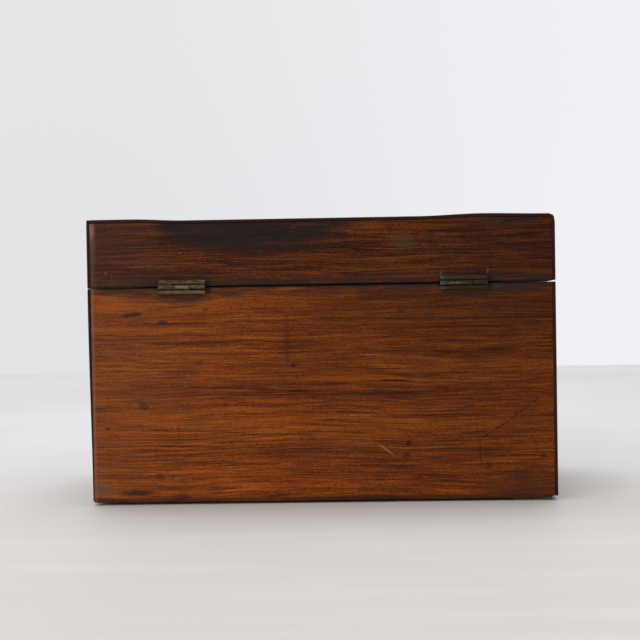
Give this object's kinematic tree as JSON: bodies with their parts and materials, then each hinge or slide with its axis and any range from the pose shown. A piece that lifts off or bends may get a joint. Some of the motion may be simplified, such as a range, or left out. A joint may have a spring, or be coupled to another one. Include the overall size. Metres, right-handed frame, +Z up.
{
  "type": "tea caddy",
  "caption": "Rectangular rosewood-veneered box with a deep hinged lid, lift-out inner lids over foil-lined compartments, a lock with its key, and felt pads underneath.",
  "frame": {"origin": "middle of the whole piece's box, key and hinges included, at the height of the surface that the felt pads stand on", "axes": "+Z up; the lock faces -Y and the hinges +Y; +X along the box's length, to the right of someone who looks at the lock"},
  "size_m": [0.23, 0.1538, 0.1411],
  "materials": {
    "rosewood": "old waxed polish, worn satin, dark straight grain",
    "carcass_wood": "bare planed softwood and mahogany, aged",
    "lining_wood": "thin rosewood lining, polished satin",
    "brass": "aged dull brass with grime in its grooves",
    "steel": "worn grey steel, brown in its corners",
    "lead_foil": "dull grey lead and tin foil, slightly crumpled",
    "green_felt": "green wool felt",
    "velvet": "dark red velvet, faded",
    "mother_of_pearl": "polished shell with a soft sheen",
    "ebony": "turned and polished black wood"
  },
  "bodies": {
    "box": {"back_board": "carcass_wood", "back_lining": "lining_wood", "back_veneer": "rosewood", "bottom_board": "carcass_wood", "escutcheon": "mother_of_pearl", "felt_pad_back_left": "green_felt", "felt_pad_back_right": "green_felt", "felt_pad_front_left": "green_felt", "felt_pad_front_right": "green_felt", "front_board": "carcass_wood", "front_lining": "lining_wood", "front_veneer": "rosewood", "left_board": "carcass_wood", "left_foil": "lead_foil", "left_hinge_box_leaf": "brass", "left_hinge_box_screw_inner": "brass", "left_hinge_box_screw_outer": "brass", "left_hinge_pin": "brass", "left_lining": "lining_wood", "left_veneer": "rosewood", "lock_case": "brass", "lock_screw_left": "brass", "lock_screw_right": "brass", "lock_selvedge": "brass", "partition": "lining_wood", "right_board": "carcass_wood", "right_foil": "lead_foil", "right_hinge_box_leaf": "brass", "right_hinge_box_screw_inner": "brass", "right_hinge_box_screw_outer": "brass", "right_hinge_pin": "brass", "right_lining": "lining_wood", "right_veneer": "rosewood"},
    "lid": {"left_hinge_lid_leaf": "brass", "left_hinge_lid_screw_inner": "brass", "left_hinge_lid_screw_outer": "brass", "lid_back_board": "carcass_wood", "lid_back_veneer": "rosewood", "lid_front_board": "carcass_wood", "lid_front_veneer": "rosewood", "lid_left_board": "carcass_wood", "lid_left_veneer": "rosewood", "lid_pad": "velvet", "lid_panel": "carcass_wood", "lid_right_board": "carcass_wood", "lid_right_veneer": "rosewood", "lid_top_veneer": "rosewood", "link_plate": "brass", "link_screw_left": "brass", "link_screw_right": "brass", "link_staple": "brass", "right_hinge_lid_leaf": "brass", "right_hinge_lid_screw_inner": "brass", "right_hinge_lid_screw_outer": "brass"},
    "left_inner_lid": {"left_inner_lid": "lining_wood", "left_knob": "ebony"},
    "right_inner_lid": {"right_inner_lid": "lining_wood", "right_knob": "ebony"},
    "key": {"key": "steel"},
    "bolt": {"lock_bolt": "brass"}
  },
  "joints": [
    {"name": "lid_hinge", "type": "hinge", "parent": "box", "child": "lid", "pos_m": [0, 0.07512, 0.10735], "axis": [-1, 0, 0], "range_deg": [0, 95]},
    {"name": "left_lift", "type": "slide", "parent": "box", "child": "left_inner_lid", "axis": [0, 0, 1], "range_m": [0, 0.018]},
    {"name": "right_lift", "type": "slide", "parent": "box", "child": "right_inner_lid", "axis": [0, 0, 1], "range_m": [0, 0.018]},
    {"name": "key_turn", "type": "hinge", "parent": "box", "child": "key", "pos_m": [0, -0.05287, 0.0936], "axis": [0, 1, 0], "range_deg": [0, 360]},
    {"name": "bolt_slide", "type": "slide", "parent": "box", "child": "bolt", "axis": [1, 0, 0], "range_m": [0, 0.005]}
  ],
  "couplings": [
    {"joint": "key_turn", "follows": "bolt_slide", "rad_per_m": 1256.6}
  ]
}
